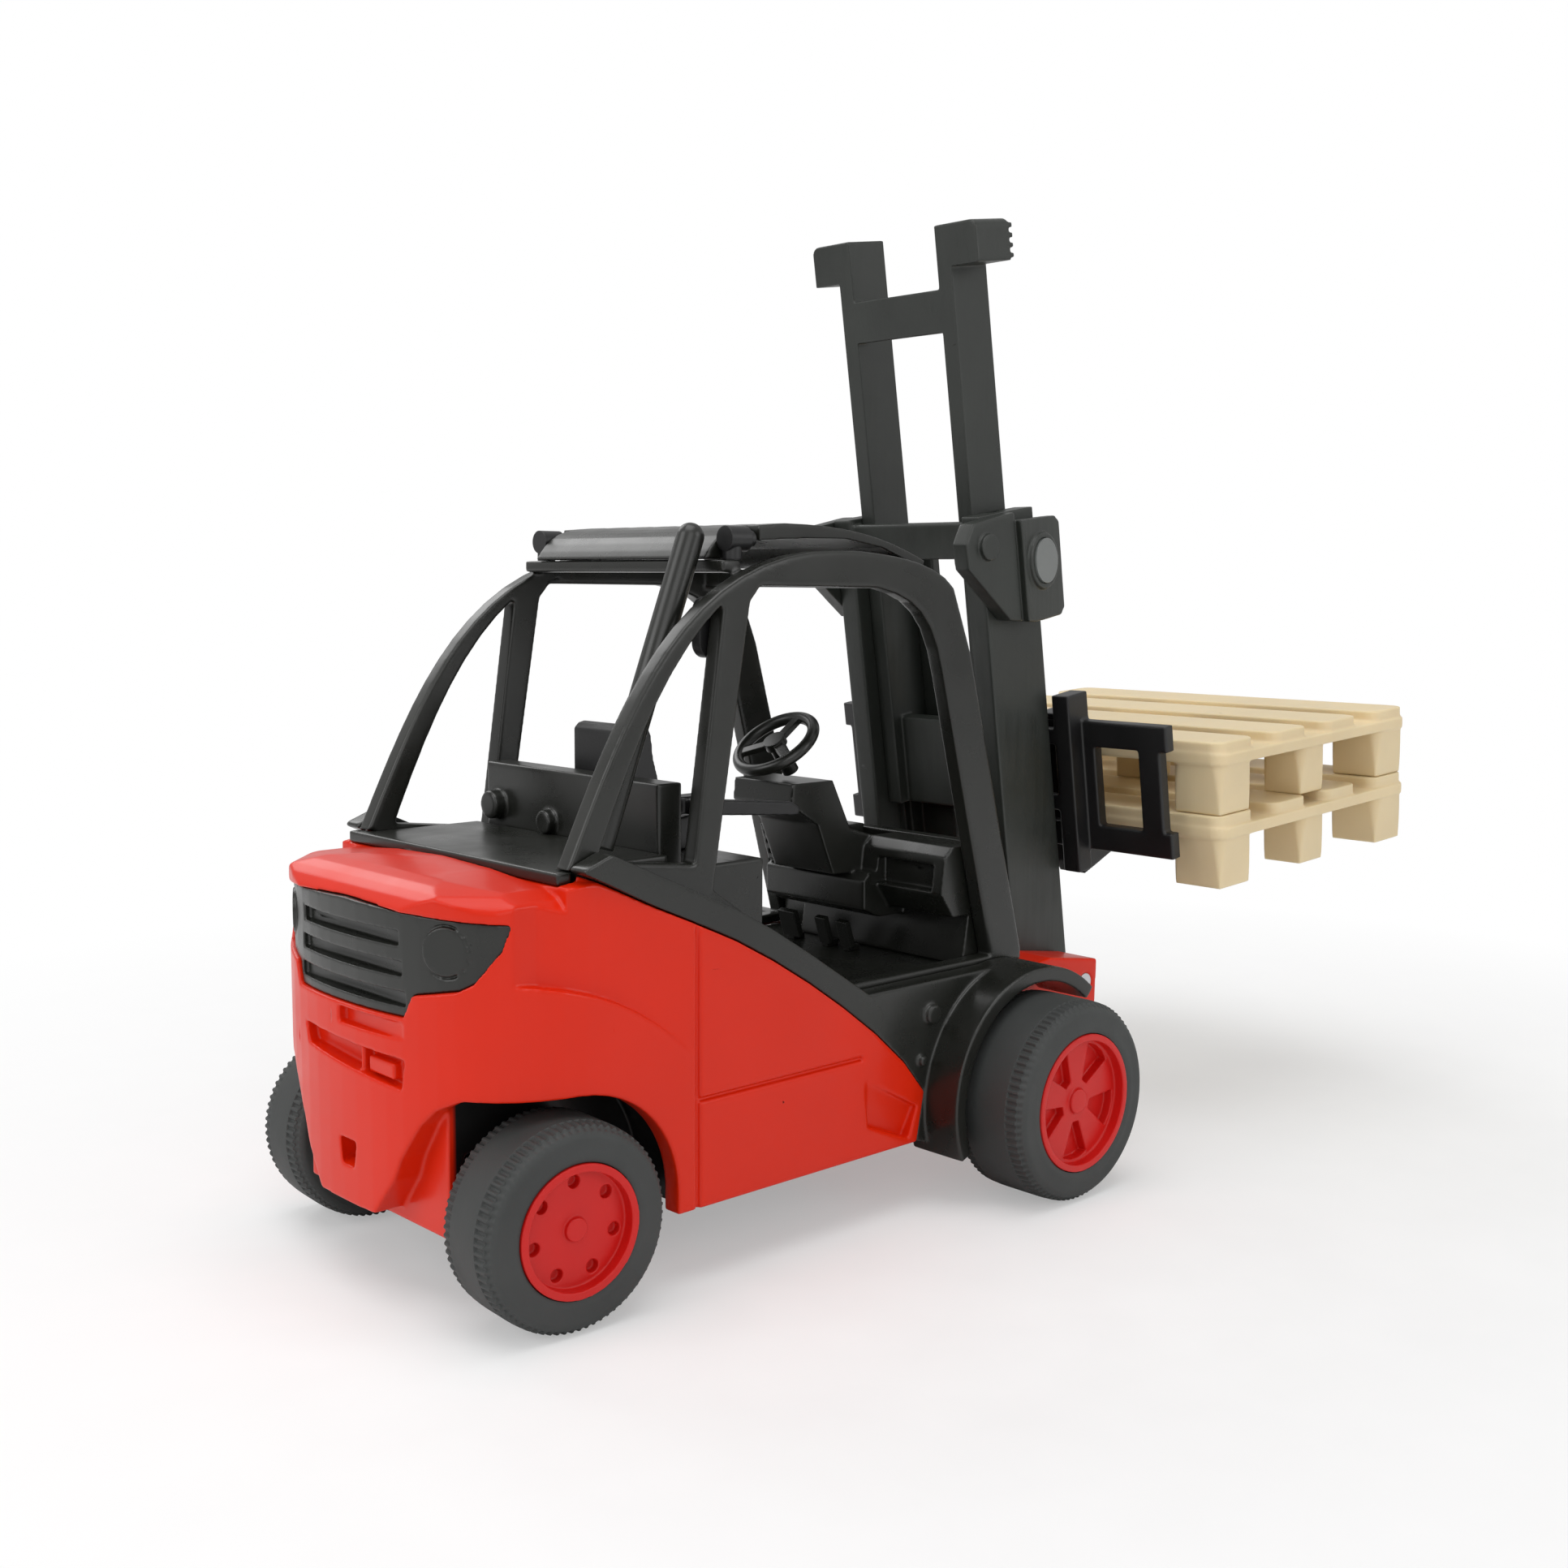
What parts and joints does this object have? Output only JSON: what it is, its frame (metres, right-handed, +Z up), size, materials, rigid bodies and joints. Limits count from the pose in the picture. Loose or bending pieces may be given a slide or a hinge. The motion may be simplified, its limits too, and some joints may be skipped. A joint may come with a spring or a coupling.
{
  "type": "toy forklift truck",
  "caption": "Toy counterbalance forklift in red and black with open cab guard, raised tilting mast and stacked pallets on its forks.",
  "frame": {"origin": "centre of the footprint box on the ground, under the wheels", "axes": "+X forwards towards the forks, +Y to the left of the truck, +Z up"},
  "size_m": [0.1037, 0.0464, 0.0785],
  "materials": {
    "red_paint": "glossy",
    "red_plastic": "satin",
    "black_plastic": "satin",
    "dark_plastic": "matte",
    "mast_plastic": "satin",
    "lamp_lens": "glossy",
    "tyre_rubber": "matte",
    "steel": "brushed",
    "pallet_plastic": "satin"
  },
  "bodies": {
    "chassis": {"body_shell": "red_paint", "base_plate": "black_plastic", "base_screws": "steel", "grille": "black_plastic", "hood_cover": "black_plastic", "cab_tub": "black_plastic", "fender_left": "black_plastic", "fender_right": "black_plastic", "guard_arches": "black_plastic", "roof_panel": "black_plastic", "roof_lamp_left": "dark_plastic", "roof_lamp_right": "dark_plastic", "cab_mirror": "dark_plastic", "exhaust_stack": "black_plastic", "seat_console": "black_plastic", "seat": "dark_plastic", "dash_console": "black_plastic", "steering_column": "black_plastic", "steering_wheel": "black_plastic", "pedals": "black_plastic", "kingpin": "steel", "mast_pins": "steel"},
    "front_wheels": {"front_axle": "steel", "front_hub_left": "red_plastic", "front_hub_right": "red_plastic", "front_tyre_left": "tyre_rubber", "front_tyre_right": "tyre_rubber"},
    "steer_axle": {"steer_beam": "black_plastic"},
    "rear_wheels": {"rear_axle": "steel", "rear_hub_left": "red_plastic", "rear_hub_right": "red_plastic", "rear_tyre_left": "tyre_rubber", "rear_tyre_right": "tyre_rubber"},
    "mast": {"outer_mast": "mast_plastic", "lamp_bracket_left": "mast_plastic", "lamp_bracket_right": "mast_plastic", "mast_lamp_left": "lamp_lens", "mast_lamp_right": "lamp_lens"},
    "lift_mast": {"inner_mast": "mast_plastic"},
    "carriage": {"fork_carriage": "dark_plastic", "fork_left": "dark_plastic", "fork_right": "dark_plastic"},
    "lower_pallet": {"pallet_lower": "pallet_plastic"},
    "upper_pallet": {"pallet_upper": "pallet_plastic"}
  },
  "joints": [
    {"name": "front_wheel_roll", "type": "hinge", "parent": "chassis", "child": "front_wheels", "pos_m": [0.00003, 0, 0.008], "axis": [0, 1, 0], "continuous": true},
    {"name": "rear_steer", "type": "hinge", "parent": "chassis", "child": "steer_axle", "pos_m": [-0.04347, 0, 0.007], "axis": [0, 0, 1], "range_deg": [-0.9, 8.1]},
    {"name": "rear_wheel_roll", "type": "hinge", "parent": "steer_axle", "child": "rear_wheels", "pos_m": [-0.04347, 0, 0.007], "axis": [0.0628, 0.998, 0], "continuous": true},
    {"name": "mast_tilt", "type": "hinge", "parent": "chassis", "child": "mast", "pos_m": [0.01303, 0, 0.014], "axis": [0, 1, 0], "range_deg": [-1, 11]},
    {"name": "mast_extend", "type": "slide", "parent": "mast", "child": "lift_mast", "axis": [-0.153, 0, 0.9882], "range_m": [-0.02, 0]},
    {"name": "carriage_lift", "type": "slide", "parent": "mast", "child": "carriage", "axis": [-0.153, 0, 0.9882], "range_m": [-0.0195, 0.0068]},
    {"name": "lower_pallet_draw", "type": "slide", "parent": "carriage", "child": "lower_pallet", "axis": [0.9983, 0, 0.0576], "range_m": [0, 0.033]},
    {"name": "upper_pallet_lift", "type": "slide", "parent": "lower_pallet", "child": "upper_pallet", "axis": [-0.0576, 0, 0.9983], "range_m": [0, 0.015]}
  ]
}
